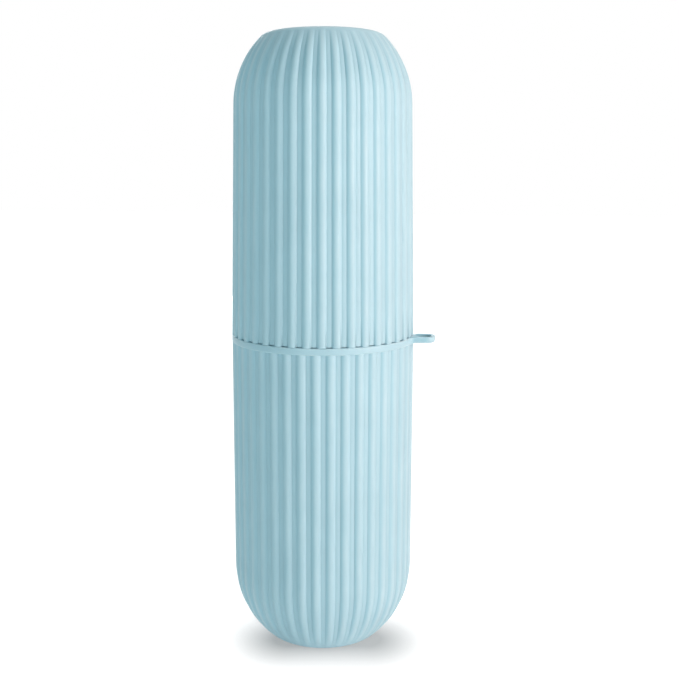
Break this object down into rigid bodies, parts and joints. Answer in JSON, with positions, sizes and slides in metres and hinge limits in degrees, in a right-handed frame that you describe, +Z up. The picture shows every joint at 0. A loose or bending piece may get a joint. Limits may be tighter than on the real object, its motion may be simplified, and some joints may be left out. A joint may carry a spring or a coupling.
{
  "type": "toothbrush travel case",
  "caption": "Capsule-shaped fluted plastic travel case for toothbrushes: a base cup with a smooth rim band and cord loop, an inner neck with a soft seal, and a cover that turns and lifts off.",
  "frame": {"origin": "middle of the flat foot of the base, on the case's axis", "axes": "+Z up along the case's axis from the foot to the cover's flat end; +X from the axis toward the cord loop"},
  "size_m": [0.0692, 0.0618, 0.205],
  "materials": {
    "case_plastic": "pale blue, fine matte with a soft sheen",
    "neck_plastic": "milky white, smooth satin",
    "seal_rubber": "soft cloudy silicone"
  },
  "bodies": {
    "base": {"base_cup": "case_plastic", "neck_sleeve": "neck_plastic"},
    "seal": {"seal_ring": "seal_rubber"},
    "cover": {"cover": "case_plastic"}
  },
  "joints": [
    {"name": "cover_twist", "type": "hinge", "parent": "base", "child": "seal", "pos_m": [0, 0, 0.114], "axis": [0, 0, 1], "continuous": true},
    {"name": "cover_lift", "type": "slide", "parent": "seal", "child": "cover", "axis": [0, 0, 1], "range_m": [0, 0.12]}
  ]
}
